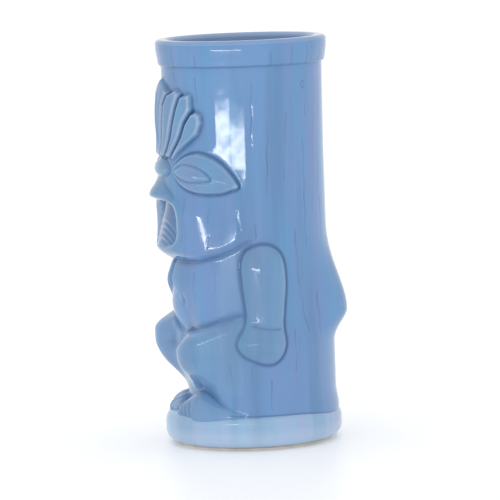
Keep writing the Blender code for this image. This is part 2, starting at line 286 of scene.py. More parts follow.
class Skin:
    """Radius of the outside over the grid, the node that owns each point, and the painted shade:
    darkening laid in creases and recesses beyond what the glaze pools there from the shape alone."""

    def __init__(self):
        self.radius = trunk_wall(TURN, HEIGHT)
        self.owner = np.full(TURN.shape, "trunk_shell", dtype=object)
        self.painted_shade = np.zeros(TURN.shape)

    def claim(self, node, where):
        self.owner[where] = node

    def cushion(self, node, height, edge, groove, groove_width):
        """Raise the node's outline by height over a round edge, with a groove round it."""
        inside = inside_node(node)
        self.radius += height * shoulder(inside / edge)
        self.radius -= groove * bell(inside, 0, groove_width)
        self.claim(node, inside > 0)
        return inside


# The figure's reliefs fade out between these turns.
FIGURE_EDGE = (84, 76)
CHEST_SIDE_R = 34.5
MOUND_HOLLOW = 2.0
MOUND_EDGE = 3.2
MUZZLE = 5.2
JAW_GROOVE = 0.45


def jaw_height():
    """Height of the crease under the jaw."""
    points = [(0, 78.6), (18, 79.0), (30, 79.2), (40, 79.9), (50, 81.3), (58, 82.6), (66, 84.8)]
    return through(TURN, points + [(78, 87.8), (90, 88.6)])


def torso():
    """Chest of two mounds with a hollow between them that widens over the belly."""
    front = through(
        HEIGHT,
        [(81, 31.4), (78, 32.2), (75, 33.3), (72, 34.3), (70, 34.6), (68, 34.4), (65, 33.6)]
        + [(62, 33.0), (59, 32.5), (56, 32.0), (53, 31.2), (49, 29.4)],
    )
    side = CHEST_SIDE_R - 0.9 * ramp(TURN, 38, 68)
    inner = through(
        HEIGHT, [(79, 0.4), (75, 0.8), (71, 2.4), (67, 7), (64, 12), (61, 16), (57, 22), (53, 29)]
    )
    mound = swell_up((TURN - inner) * DEGREE_MM / MOUND_EDGE)
    hollow = MOUND_HOLLOW * (1 - mound) * ramp(HEIGHT, 59, 70)
    belly = 0.5 * bell(TURN, 0, 15) * bell(HEIGHT, 58, 5)
    dimple = 0.9 * bell(TURN, 19, 2.4) * bell(HEIGHT, 62.5, 2.2)
    return front + (side - front) * ramp(TURN, 22, 44) - hollow + belly - dimple


def sculpt_head(skin):
    """Broad muzzle that thins towards the ears and the brow, over a chest below the jaw."""
    muzzle = MUZZLE * blend((86 - TURN) / 62)
    ahead = 1 - 0.3 * ramp(HEIGHT, 99, 108) - 0.7 * ramp(HEIGHT, 114, 133)
    beside = through(
        HEIGHT,
        [(78, 1), (84, 0.93), (88, 0.86), (94, 0.74), (99, 0.61), (105, 0.42), (110, 0.2)]
        + [(114, 0.06), (118, 0)],
    )
    muzzle *= ahead + (beside - ahead) * ramp(TURN, 40, 56)
    head = skin.radius + muzzle
    chest = skin.radius + (torso() - skin.radius) * ramp(TURN, 77, 63)
    above = HEIGHT - jaw_height()
    width = through(TURN, [(0, 6.4), (16, 6.2), (34, 4.2), (55, 3.4), (80, 3.0)])
    jaw = chest + (head - chest) * swell_up(above / width)
    skin.radius = np.where(above > 0, jaw, chest)
    figure = ramp(TURN, *FIGURE_EDGE)
    skin.radius -= JAW_GROOVE * bell(above, 0, 0.8) * figure
    # Painted shade just under the jaw, where it overhangs the chest.
    skin.painted_shade += 0.3 * bell(above, -0.6, 1.2) * figure
    for node, past in (("chest_left", 0.8), ("belly", 0.8), ("cheek_left", 0), ("lower_lip", 0)):
        skin.claim(node, inside_node(node) > -past)


def superellipse(half_turn, low, high, squareness, count=96):
    """Closed outline that is squarer than an ellipse where squareness is below 1."""
    angle = np.linspace(0, 2 * np.pi, count, endpoint=False)
    cos, sin = np.cos(angle), np.sin(angle)
    across = half_turn * np.sign(cos) * np.abs(cos) ** squareness
    up = (low + high) / 2 + (high - low) / 2 * np.sign(sin) * np.abs(sin) ** squareness
    return np.stack([across, up], 1)


MOUTH_SQUARENESS = 0.62
MOUTH_RIM = 0.7
TONGUE_GROOVES = (95.0, 92.6, 90.2, 87.9)
TONGUE_GROOVE = 0.75
TONGUE_RIDGE = 0.25


def sculpt_mouth(skin):
    """Open mouth: a raised rim, a deep roof and a tongue that leans out to the lower lip."""
    opening = superellipse(MOUTH_TURN - 3.0, MOUTH_LOW - 2.2, MOUTH_HIGH + 0.3, MOUTH_SQUARENESS)
    inside = inside_distance(opening)
    skin.radius += MOUTH_RIM * bell(inside, -1.0, 1.1) * ramp(HEIGHT, 84, 90)
    lean = through(
        HEIGHT, [(106, 34.0), (100, 34.6), (96, 35.6), (91, 37.0), (87, 38.0), (84, 38.3)]
    )
    tongue = lean - 1.5 * (TURN / 25) ** 2 - 2.6 * ramp(TURN, 19.5, 23.5) * ramp(HEIGHT, 88, 93)
    for centre in TONGUE_GROOVES:
        line = centre - 0.016 * TURN**1.9 + 0.2
        tongue -= TONGUE_GROOVE * bell(HEIGHT, line, 0.5) * ramp(TURN, 22, 19)
        tongue += TONGUE_RIDGE * bell(HEIGHT, line + 1.1, 0.6) * ramp(TURN, 22, 19)
    skin.radius += (np.minimum(tongue, skin.radius) - skin.radius) * ramp(inside, 0.0, 1.5)
    # Painted shade deep inside the mouth's opening.
    skin.painted_shade += 0.5 * ramp(inside, 0.3, 1.5) * ramp(skin.radius, 37, 34.5)
    skin.claim("mouth_rim", (inside > -2.6) & (HEIGHT > MOUTH_LOW - 1))
    skin.claim("tongue", inside > 1.3)


def sculpt_nose(skin):
    """Broad nose that widens from the bead to two wings above the mouth."""
    middle = (NOSE_LOW + NOSE_HIGH) / 2
    bridge = [(NOSE_HIGH + 2, 36.4), (NOSE_HIGH, 37.4), (middle + 1.4, 39.2)]
    tip = [(middle - 1, NOSE_R - 0.5), (NOSE_LOW + 2, NOSE_R - 0.3), (NOSE_LOW + 0.6, 40.1)]
    under = [(NOSE_LOW - 1, 36.5), (NOSE_LOW - 3, 34)]
    ridge = through(HEIGHT, bridge + tip + under)
    widths = [(NOSE_HIGH + 2, 8), (NOSE_HIGH - 2, 12), (NOSE_LOW + 2, NOSE_TURN + 1.5)]
    half = through(HEIGHT, widths)
    form = np.clip(1 - (TURN / half) ** 2, 0, 1) ** 0.8
    wing = 0.4 * bell(TURN, 16, 4) * bell(HEIGHT, NOSE_LOW + 2, 2)
    inside = inside_node("nose")
    form *= ramp(HEIGHT, NOSE_HIGH + 4, NOSE_HIGH) * ramp(HEIGHT, NOSE_LOW - 3, NOSE_LOW - 0.5)
    nose = skin.radius + (ridge - skin.radius) * form + wing
    skin.radius = np.maximum(skin.radius, nose)
    skin.claim("nose", inside > -0.4)


# How far each soft swelling rises, and over what width.
BEAD = (1.5, 3.2)
EYE_BULGE = (1.7, 7)
PUPIL_BULGE = (0.35, 3)


def bulge(inside, rise, edge):
    """Soft swelling of a relief, full at this distance from its edge."""
    return rise * swell_up(inside / edge)


def sculpt_bead(skin):
    """Round knot between the brows, with a groove round it."""
    inside = skin.cushion("brow_bead", 0, 3.0, groove=0.5, groove_width=0.7)
    skin.radius += bulge(inside, *BEAD)


def sculpt_eyes(skin):
    """Drooping almond that bulges inside a groove, with a teardrop cut into it."""
    eye = skin.cushion("eye_left", 1.1, 1.5, groove=1.2, groove_width=0.45)
    skin.radius += bulge(eye, *EYE_BULGE)
    pupil = skin.cushion("pupil_left", 0.2, 1.0, groove=1.0, groove_width=0.45)
    skin.radius += bulge(pupil, *PUPIL_BULGE)


# Corners of the leaves as (turn, height), from each tip down its outer side.
LEAF_SIDES = (
    ((14.8, 149.8), (9.5, 145), (8, 138), (5.2, 130), (2.8, 123)),
    ((28.2, 148.8), (24.8, 144), (19.4, 135), (13.2, 126), (9, 122.6)),
    ((38.3, 142.6), (36.2, 140.6), (32.5, 137.8), (27.8, 132), (17.5, 122.6)),
    ((46.3, 137.6), (42.6, 132.6), (33, 128.2), (26, 124.8), (20, 121.6)),
)
# Tops of the leaves as (turn, height), from the inner corner outwards.
LEAF_TIPS = (
    ((-14.8, 149.8), (-7.5, 153.4), (0, 155.9), (7.5, 153.4)),
    ((16.5, 150), (23.6, 151.7), (28, 150)),
    ((29.2, 149), (37.2, 149.9), (38.2, 147.4)),
    ((38.6, 141.8), (41.8, 142.5), (45.4, 141.2)),
)
# Each leaf's height, as a share of the crest's.
LEAF_SHARES = {
    "leaf_centre": 1.1,
    "leaf_left_inner": 1.02,
    "leaf_left_middle": 0.9,
    "leaf_left_outer": 0.78,
}
LEAF_GROOVE = 0.75
LEAF_GROOVE_WIDTH = 0.42
MIDRIB = 0.5


def sculpt_crest(skin):
    """Seven leaves that fan out from the bead, highest in the middle, with shared grooves."""
    height = through(HEIGHT, [(120, 1.6), (125, 2.6), (138, 3.6), (150, 2.6), (156, 1.4)])
    insides = []
    near_side = [(-turn, level) for turn, level in LEAF_SIDES[0]]
    for tip, side in zip(LEAF_TIPS, LEAF_SIDES):
        outline = [*reversed(near_side), *tip, *side]
        insides.append(inside_distance(np.array(outline, float)))
        near_side = side
    for (node, share), inside in zip(LEAF_SHARES.items(), insides):
        beside = np.max([other for other in insides if other is not inside], axis=0)
        level = 0.8 * blend(inside / 0.9) + 0.2 * swell_up(inside / 3.5)
        skin.radius += share * height * level
        shared = ramp(beside, -1.2, -0.2)
        skin.radius -= LEAF_GROOVE * bell(inside, 0, LEAF_GROOVE_WIDTH) * shared
        skin.claim(node, inside > 0)
    skin.radius += MIDRIB * bell(TURN, 0, 1.3) * ramp(HEIGHT, 126, 132) * ramp(HEIGHT, 153, 148)


# Outline of an arm with its fist, as (turn, height), from the top of the shoulder down the
# back and up the front.
LIMB = (
    (86, 86.6), (96, 84.9), (102, 79.8), (103.6, 70), (101.9, 60), (100.5, 51.5),
    (100.6, 44), (95.5, 38), (87, 36.2), (76, 38.5), (69, 41.6), (66.9, 46.5),
    (72.6, 54), (72, 62), (70.6, 70), (70.2, 79), (74.5, 84.5),
)
LIMB_EDGE = 9.5
WRIST = 51
WRIST_CREASE = 0.75


def sculpt_arms(skin):
    """Hanging arm and fist in one round form, with a slight crease at the wrist."""
    inside = inside_distance(smoothed_outline(np.array(LIMB)))
    wrist = WRIST + 0.006 * (96 - TURN) ** 2
    reach = through(
        HEIGHT, [(86, 38.2), (70, 38.7), (56, 38.5), (51, 38.6), (45, 39.6), (39, 39.2)]
    )
    reach += 0.3 * ramp(HEIGHT - wrist, 0, -2.5)
    round_side = 0.4 * shoulder(inside / LIMB_EDGE) + 0.6 * swell_up(inside / LIMB_EDGE)
    limb = (reach - skin.radius) * round_side
    groove = 0.2 + 0.3 * np.maximum(ramp(TURN, 82, 90), ramp(HEIGHT, 76, 84))
    limb -= groove * bell(inside, 0, 0.55)
    limb -= WRIST_CREASE * bell(HEIGHT, wrist, 0.8) * ramp(inside, 0.8, 3.5)
    skin.radius += limb
    # Painted shade along the outline of the arm and fist, over the glaze in the groove.
    skin.painted_shade += 0.5 * bell(inside, -0.2, 0.9)
    skin.claim("arm_left", (inside > 0) & (HEIGHT > wrist))
    skin.claim("fist_left", (inside > 0) & (HEIGHT <= wrist))


# Radius at the top edge of the legs, and of the ankles in front.
LAP_R = 32.8
ANKLE_R = 26.8
LEG_FILLET = 0.7
LEG_GROOVE = 0.6


def knee_reach():
    """Radius of the legs before they taper: knees apart above, shins closer below."""
    side = [(38, KNEE_R - 1.4), (44, 41.6), (53, 39.5), (62, 37.5), (70, 36.2), (79, LOW_R)]
    knee = [(0, 29.3), (10, 30.6), (16, 32.6), (21, 37), (25, 40.4), (29, 42.4)]
    knee += [(33, KNEE_R - 0.8)]
    shin = [(0, 31), (8, 32.2), (14, 34.8), (21, 40), (26, 42.2), (33, KNEE_R - 1)]
    low = through(TURN, shin + side)
    return low + (through(TURN, knee + side) - low) * ramp(HEIGHT, 36, 43)


def sculpt_legs(skin, lift):
    """Drawn-up legs: round knees in front, thighs running back, shins sloping to the feet.
    The knee's top is raised by lift."""
    line = [(0, 47), (12, 48), (22, 49.6), (30, 50.8), (36, 51.8), (44, 53.3), (54, 55.2)]
    top = through(TURN, line + [(72, 57.6)]) + lift * ramp(TURN, 4, 24) * ramp(TURN, 72, 50)
    reach = knee_reach()
    width = through(TURN, [(0, 8), (34, 8), (50, 7), (70, 5)])
    leg = LAP_R + (reach - LAP_R) * swell_up((top - HEIGHT) / width)
    ankle = ANKLE_R + (LOW_R - 0.1 - ANKLE_R) * ramp(TURN, 26, 70)
    slope = [(21, 0), (26, 0.17), (29, 0.36), (34, 0.7), (37, 0.84), (41, 0.98), (44, 1)]
    leg = np.minimum(leg, ankle + (reach - ankle) * through(HEIGHT, slope))
    leg = np.where(top > HEIGHT, leg, 0)
    before = skin.radius.copy()
    front = before + (ankle - before) * ramp(HEIGHT, 50, 30) * ramp(TURN, 72, 60)
    joined = soft_max(front, leg, LEG_FILLET)
    skin.radius = before + (joined - before) * ramp(TURN, *FIGURE_EDGE)
    crease = bell(HEIGHT - top, 0, 0.8)
    skin.radius -= LEG_GROOVE * crease * ramp(TURN, 73, 69) * ramp(TURN, 8, 20)
    skin.claim("leg_left", (top - HEIGHT > 0.4) & (HEIGHT > 24) & (TURN > 4) & (TURN < 70))


TOES = (11, 15.5, 20, 25)
TOE_GROOVE = 0.6
FOOT_REACH = 35.7


def sculpt_feet(skin, flatter):
    """Half-domed feet on the plinth with short toes. Their sides are lower by flatter."""
    side = [(26, 9.8), (34, 10.6), (44, 8.6), (52, 6.8), (58, 5.4), (70, 3.4)]
    rise = through(TURN, [(4, 0.5), (9, 4.6), (14, 6.4), (20, 8.2)] + side)
    rise -= flatter * ramp(TURN, 12, 24) * ramp(TURN, 68, 50)
    above = np.clip((HEIGHT - LEDGE) / rise, 0, 1)
    edge = FOOT_REACH - 4.5 * (1 - shoulder((TURN - 5.5) / 9)) + 0.9 * ramp(TURN, 24, 36)
    edge -= ramp(TURN, 62, 74)
    foot = WAIST_R - 1 + (edge - WAIST_R + 1) * np.sqrt(1 - above**2)
    slant = TURN + 0.5 * (HEIGHT - LEDGE)
    for toe in TOES:
        groove = TOE_GROOVE * bell(slant, toe + 2, 0.9)
        foot -= groove * ramp(HEIGHT, LEDGE + 8, LEDGE + 4)
    foot = np.where((above < 1) & (TURN > 5.5) & (TURN < 73), foot, 0)
    raised = foot > skin.radius - 0.1
    skin.radius = soft_max(skin.radius, foot, 0.5)
    skin.claim("foot_left", raised & (TURN < 67) & (HEIGHT < 30))


def sculpt(lift):
    """One half of the figure, with its knee raised and its foot flattened by lift."""
    skin = Skin()
    sculpt_head(skin)
    sculpt_nose(skin)
    sculpt_mouth(skin)
    sculpt_eyes(skin)
    sculpt_crest(skin)
    sculpt_bead(skin)
    sculpt_legs(skin, lift)
    sculpt_feet(skin, lift)
    sculpt_arms(skin)
    skin.radius = blurred(skin.radius, 0.55, 0.8, wrap=False)
    return skin


# ---- from skin to full turn

# The figure's right knee is this much higher than the left one.
FAR_KNEE_LIFT = 3.8
WAVE = 0.035
WAVE_COUNT = 14


def full_turn(left, right):
    """All turns from -180 up to but not with 180, from the two halves of the figure."""
    return np.concatenate([right[..., :0:-1], left[..., :-1]], axis=-1)


turns = full_turn(half_turns, -half_turns)


def on_the_right(owners):
    """The same owners under the names of the figure's right side."""
    names = [name.replace("left", "right") for name in owners.ravel()]
    return np.array(names, dtype=object).reshape(owners.shape)


def waviness(turn, height):
    """Slow hand-made unevenness of the wall, in mm, the same on every run."""
    rng = np.random.default_rng(SEED)
    total = 0
    for _ in range(WAVE_COUNT):
        around, up = rng.integers(2, 9), rng.uniform(0.01, 0.07)
        phase, size = rng.uniform(0, 2 * np.pi), rng.uniform(0.4, 1.0)
        total = total + size * np.sin(np.radians(turn) * around + height * up + phase)
    return WAVE * total


# Long incised grain lines: turn at the top, lowest and highest height, drift in degrees
# towards the bottom, and strength.
GRAIN = (
    (20.3, 154.5, 159, 0.8, 1), (41.1, 145, 157.2, 0.8, 0.8), (82.7, 124, 156.5, -1.9, 1),
    (95.2, 148, 158.5, -0.5, 0.5), (93.3, 104, 139, -2.3, 1), (108.9, 146, 156, -0.6, 0.4),
    (108, 111, 143, -3.7, 0.7), (122.2, 80, 132, 0.6, 1), (128, 137, 158.5, -2.9, 0.7),
    (135.5, 95, 150, -5, 0.5), (145, 98, 154, -7, 0.6), (33.2, 99, 105, -1.4, 0.8),
    (50.1, 95.4, 103.8, -0.5, 0.8), (49.3, 85, 91, -0.4, 0.8), (69.2, 92, 101, 1.7, 0.8),
    (82.2, 88.8, 95.5, -0.4, 1), (34.9, 89.7, 92.7, -0.2, 0.6), (33.9, 63.5, 76, -0.1, 0.8),
    (51.1, 66, 76, -0.4, 0.6), (37.5, 70.4, 75.4, -0.4, 0.6), (112.4, 66, 93, 2.6, 1),
    (115, 47, 67.5, 7, 0.8), (108.4, 31, 51, -1.4, 1), (111, 33, 48, -1.4, 0.4),
    (131.4, 46, 66, 1.7, 0.7), (164.5, 42, 54, 0.1, 0.8), (88.7, 15.5, 31, -0.2, 1),
    (76.6, 25, 37, -0.8, 0.6), (39.6, 35, 42.3, 0.3, 0.8), (62.1, 29, 37, -0.1, 0.6),
)
GRAIN_DEPTH = 0.2
GRAIN_WIDTH = 0.42
# Seeded lines are tried this many times, and keep this many degrees from the others.
GRAIN_TRIES = 64
GRAIN_GAP = 3.2
# A ring cut round a knot: its turn and height, and its size across and up.
KNOT = (123.7, 152)
KNOT_SIZE = (1.1, 1.5)


def grain_lines():
    """The stated lines on the figure's left, and seeded ones like them on the rest."""
    rng = np.random.default_rng(SEED + 1)
    lines = list(GRAIN)
    for _ in range(GRAIN_TRIES):
        turn = rng.uniform(-178, 178)
        low = rng.uniform(18, 150)
        high = min(low + rng.uniform(8, 40), 158)
        drift = rng.uniform(-1.2, 1.2)
        hidden_side = turn < -22 or turn > 128
        clear = min(abs(turn - line[0]) for line in lines) > GRAIN_GAP
        if hidden_side and clear:
            lines.append((turn, low, high, drift, rng.uniform(0.4, 1)))
    return lines


def with_line(cut, centre, fade):
    """The cut's depth with one more grain line, along the turns in centre."""
    away = (turns - centre + 180) % 360 - 180
    return np.maximum(cut, GRAIN_DEPTH * fade * bell(away * DEGREE_MM, 0, GRAIN_WIDTH))


def grain_cut(height, owners):
    """Depth of the lines, fading at both ends, on the trunk, face, chest, belly and legs."""
    cut = np.zeros(owners.shape)
    for start_turn, low, high, drift, strength in grain_lines():
        along = (height - low) / (high - low)
        centre = start_turn + drift * (1 - along) + 0.35 * np.sin(height * 0.5 + start_turn)
        fade = ramp(along, 0, 0.12) * ramp(along, 1, 0.88)
        fade *= strength * (0.75 + 0.25 * np.sin(height * 0.23 + start_turn))
        cut = with_line(cut, centre, fade)
    across = (turns - KNOT[0]) * DEGREE_MM / KNOT_SIZE[0]
    ring = np.hypot(across, (height - KNOT[1]) / KNOT_SIZE[1])
    cut = np.maximum(cut, GRAIN_DEPTH * bell(ring, 1, 0.3))
    plain = ("trunk_shell", "cheek", "chest", "leg", "belly")
    allowed = np.array([name.startswith(plain) for name in owners.reshape(-1)])
    return cut * allowed.reshape(owners.shape)


# The skin goes down past the ledge by SKIRT, and meets it with a fillet.
SKIRT = 3.0
SKIRT_ROWS = 8
FILLET = 0.9
FILLET_ROWS = 10


def foot_round(turn):
    """Size of the plinth's round top edge: wide in front and behind, tighter at the sides."""
    away = np.abs(turn)
    return 5 - 2 * ramp(away, 38, 64) + 2.5 * ramp(away, 98, 150)


def foot_edge(height, turn):
    """Radius of the plinth's side with its rounded top edge."""
    size = foot_round(turn)
    fall = np.clip((height - LEDGE + size) / size, 0, 1)
    return FOOT_R - size + size * np.sqrt(1 - fall**2)


def trunk_rows(skin):
    """Heights, radii and owners of the rows between the plinth and the band."""
    skirt = np.linspace(LEDGE - SKIRT, LEDGE - 0.02, SKIRT_ROWS)
    low = LEDGE + FILLET * (np.arange(FILLET_ROWS) / FILLET_ROWS) ** 1.5
    high = np.arange(LEDGE + FILLET, BAND_BOTTOM - 0.2, ROW_STEP)
    heights = np.concatenate([skirt, low, high, [BAND_BOTTOM]])
    radius = np.stack(
        [np.interp(heights, row_heights, column) for column in skin.radius.T], axis=1
    )
    radius += 0.9 * ramp(heights, 22, 14)[:, None] * ramp(half_turns, 100, 140)
    part = (heights[:, None] - LEDGE) / FILLET
    fillet = np.maximum(FOOT_R - foot_round(half_turns) - radius, 0) * (1 - shoulder(part))
    radius += np.where(part < 0, 0, fillet)
    nearest = np.clip(np.searchsorted(row_heights, heights), 0, len(row_heights) - 1)
    return heights, radius, skin.owner[nearest], skin.painted_shade[nearest]


# ---- meshes


def point_of(turn, radius, height):
    """Points in metres from turns in degrees, and radii and heights in mm."""
    angle = np.radians(turn)
    shape = np.broadcast(turn, radius, height).shape
    height = np.broadcast_to(height, shape)
    return np.stack([radius * np.sin(angle), -radius * np.cos(angle), height], -1) * MM


def grid_normals(points):
    """Outward normals of a grid of rows by wrapped columns."""
    around = np.roll(points, -1, 1) - np.roll(points, 1, 1)
    up = np.gradient(points, axis=0)
    normal = np.cross(around, up)
    return normal / (np.linalg.norm(normal, axis=-1, keepdims=True) + 1e-12)


def make_mesh(name, points, faces, normals, glaze_and_painted_light):
    """A piece from flat arrays. faces holds arrays of quads or triangles, and the last array says
    how deep the glaze lies at each point, with painted shade and painted light added in."""
    mesh = bpy.data.meshes.new(name)
    mesh.vertices.add(len(points))
    mesh.vertices.foreach_set("co", points.astype(np.float32).ravel())
    groups = [group for size in (4, 3) for group in faces if group.shape[1] == size]
    corners = np.concatenate([group.ravel() for group in groups])
    sizes = np.concatenate([np.full(len(group), group.shape[1]) for group in groups])
    mesh.loops.add(len(corners))
    mesh.loops.foreach_set("vertex_index", corners.astype(np.int32))
    mesh.polygons.add(len(sizes))
    mesh.polygons.foreach_set("loop_start", (np.cumsum(sizes) - sizes).astype(np.int32))
    mesh.update(calc_edges=True)
    mesh.shade_smooth()
    attribute = mesh.attributes.new("glaze_and_painted_light", "FLOAT", "POINT")
    attribute.data.foreach_set("value", glaze_and_painted_light.astype(np.float32))
    mesh.normals_split_custom_set_from_vertices(normals.astype(np.float32))
    piece = bpy.data.objects.new(name, mesh)
    bpy.context.scene.collection.objects.link(piece)
    return piece


def cell_corners(row, column, above, beside, width):
    """Numbers of the four points round each cell of a grid this wide."""
    corners = ((row, column), (row, beside), (above, beside), (above, column))
    return np.stack([line * width + place for line, place in corners], 1)


def relief_piece(name, cells, points, back, normals, glaze_and_painted_light):
    """Closed piece over the cells it owns: their skin, a back behind it, and an edge."""
    rows, columns = np.nonzero(cells)
    width = points.shape[1]
    beside = (columns + 1) % width
    corner = cell_corners(rows, columns, rows + 1, beside, width)
    padded = np.pad(cells, ((1, 1), (0, 0)))
    open_sides = (
        (~padded[rows, columns], (0, 1)),
        (~cells[rows, beside], (1, 2)),
        (~padded[rows + 2, columns], (2, 3)),
        (~cells[rows, (columns - 1) % width], (3, 0)),
    )
    used, index = np.unique(corner, return_inverse=True)
    index = index.reshape(corner.shape)
    count = len(used)
    walls = []
    for is_open, (start, end) in open_sides:
        a, b = index[is_open, start], index[is_open, end]
        walls.append(np.stack([b, a, a + count, b + count], 1))
    faces = [index, index[:, ::-1] + count, *walls]
    flat_normals = normals.reshape(-1, 3)[used]
    return make_mesh(
        name,
        np.concatenate([points.reshape(-1, 3)[used], back.reshape(-1, 3)[used]]),
        faces,
        np.concatenate([flat_normals, -flat_normals]),
        np.concatenate([glaze_and_painted_light.ravel()[used], np.zeros(count)]),
    )


def grid_faces(row_count, width, closed):
    """Quads of a grid that wraps round its columns, and its rows too when closed."""
    rows = np.arange(row_count if closed else row_count - 1)
    columns = np.arange(width)
    row, column = (part.ravel() for part in np.meshgrid(rows, columns, indexing="ij"))
    return cell_corners(row, column, (row + 1) % row_count, (column + 1) % width, width)


def turned_piece(name, radius, height, glaze_and_painted_light=None, closed=True, caps=False):
    """A body of rings, outside first: radius is rows by columns, height one per row.
    When closed, the last ring joins the first. Caps fill the first and the last ring."""
    rows, width = radius.shape
    around = turns if width == len(turns) else np.arange(width) * 360 / width - 180
    points = point_of(around, radius, height[:, None] + np.zeros(width))
    wrapped = points if not closed else np.concatenate([points[-1:], points, points[:1]])
    normals = grid_normals(wrapped)
    normals = normals[1:-1] if closed else normals
    glaze_and_painted_light = np.zeros((rows, width)) if glaze_and_painted_light is None else glaze_and_painted_light
    faces = [grid_faces(rows, width, closed)]
    points, normals, glaze_and_painted_light = points.reshape(-1, 3), normals.reshape(-1, 3), glaze_and_painted_light.ravel()
    if caps:
        ring = np.arange(width)
        for row, first, way in ((0, len(points), 1), (rows - 1, len(points) + 1, -1)):
            centre = points[row * width : (row + 1) * width].mean(0) * (0, 0, 1)
            pair = np.stack([ring + row * width, np.roll(ring, -1) + row * width], 1)[:, ::-way]
            faces.append(np.column_stack([pair, np.full(width, first)]))
            points = np.concatenate([points, centre[None]])
            normals = np.concatenate([normals, [[0, 0, -way]]])
            glaze_and_painted_light = np.append(glaze_and_painted_light, 0)
    return make_mesh(name, points, faces, normals, glaze_and_painted_light)


def arc(radius, height, size, start, end, steps):
    """Radii and heights along a round edge, centred at (radius, height)."""
    angle = np.radians(np.linspace(start, end, steps))
    return radius + size * np.cos(angle), height + size * np.sin(angle)


# How much glaze narrow creases, wide hollows and grain lines hold for each mm of depth.
CREASE_POOL = 1.8
HOLLOW_POOL = 0.12
GRAIN_POOL = 2.0
# The palest painted light: on the band's lining near the lip, and low on the plinth as a painted
# reflection of the white table.
PALEST_PAINTED_LIGHT = -0.9
# Height of the crease over the plinth at these turns.
FOOT_CREASE = ((60, 110, 130, 145, 180), (14.9, 14.3, 12.9, 11.8, 11.8))


def glaze_depth(radius):
    """Above 0 where the glaze pools in a hollow and below 0 where an edge sheds it."""
    narrow = blurred(radius, 1.6, 2.6, wrap=True) - radius
    wide = blurred(radius, 6, 9, wrap=True) - radius
    return np.clip(CREASE_POOL * narrow + HOLLOW_POOL * np.maximum(wide, 0), -1, 1)


def make_vessel(left, right):
    """Every piece of the trunk and the figure, from the skins of its two halves."""
    heights, left_radius, left_owner, left_painted_shade = trunk_rows(left)
    _, right_radius, right_owner, right_painted_shade = trunk_rows(right)
    owners = full_turn(left_owner, on_the_right(right_owner))
    height = heights[:, None]
    radius = full_turn(left_radius, right_radius)
    radius += waviness(turns, height) * ramp(height, LEDGE + 2, LEDGE + 12)
    cut = grain_cut(height, owners)
    radius -= cut
    # Glaze depth from the shape and the grain lines, plus the painted shade from both halves.
    glaze_and_painted_light = glaze_depth(radius) + full_turn(left_painted_shade, right_painted_shade) + GRAIN_POOL * cut
    crease = np.interp(np.abs(turns), *FOOT_CREASE)
    # Painted shade: a dark line along the crease where the trunk meets the plinth.
    glaze_and_painted_light += 0.7 * bell(height, crease + 0.2, 0.45) * ramp(np.abs(turns), 52, 64)
    points = point_of(turns, radius, height)
    normals = grid_normals(points)
    hidden = np.minimum(hollowed_wall(np.abs(turns), height), radius - 0.6)
    back = point_of(turns, hidden + 0.1, height)
    pieces = {}
    cell_owner = owners[:-1]
    for name in sorted(set(cell_owner.ravel()) - {"trunk_shell"}):
        pieces[name] = relief_piece(name, cell_owner == name, points, back, normals, glaze_and_painted_light)
    pieces["trunk_shell"] = make_trunk(heights, radius, hidden, cell_owner, normals, glaze_and_painted_light)
    return pieces


CUP_ROWS = 40


def cup_radius(turn, height):
    """Radius of the cup's inside."""
    return np.minimum(CUP_R, hollowed_wall(np.abs(turn), height) - WALL)


def make_trunk(heights, radius, hidden, cell_owner, normals, glaze_and_painted_light):
    """The trunk shows where it owns a cell, dips under the reliefs and is lined by the cup."""
    own = cell_owner == "trunk_shell"
    own = own | np.roll(own, 1, 1)
    shown = np.pad(own, ((0, 1), (0, 0))) | np.pad(own, ((1, 0), (0, 0)))
    shown[0] = True
    shown[-1] = True
    outer = np.where(shown, radius, hidden)
    inner_heights = np.linspace(BAND_BOTTOM, LEDGE, CUP_ROWS)
    inner = cup_radius(turns, inner_heights[:, None])
    rings = np.concatenate([outer, inner])
    ring_heights = np.concatenate([heights, inner_heights])
    piece_glaze_and_painted_light = np.concatenate([glaze_and_painted_light, np.zeros(inner.shape)])
    inner_points = point_of(turns, inner, inner_heights[:, None])
    all_normals = np.concatenate([normals, grid_normals(inner_points)])
    points = point_of(turns, rings, ring_heights[:, None]).reshape(-1, 3)
    faces = [grid_faces(*rings.shape, closed=True)]
    return make_mesh("trunk_shell", points, faces, all_normals.reshape(-1, 3), piece_glaze_and_painted_light.ravel())


# The lip is rounded to this radius, and the band is narrower by BAND_TAPER at its bottom.
LIP = 1.9
BAND_TAPER = 0.95
# The band's longest grain lines go this far up. The first have their turn and their share
# of that rise, and those at BAND_SEEDED get a seeded share.
BAND_GRAIN_RISE = 8
BAND_GRAIN = ((23, 1.0), (43, 0.6), (96, 0.8), (112, 1.0), (126, 1.0))
BAND_SEEDED = (141, 158, 171)


def band_lines():
    """Turn and share of the rise of every grain line on the band."""
    rng = np.random.default_rng(SEED + 2)
    seeded = np.arange(-170, -10, 17) + rng.uniform(-5, 5, 10)
    drawn = [(turn, rng.uniform(0.4, 1)) for turn in (*seeded, *BAND_SEEDED)]
    return [*BAND_GRAIN, *drawn]


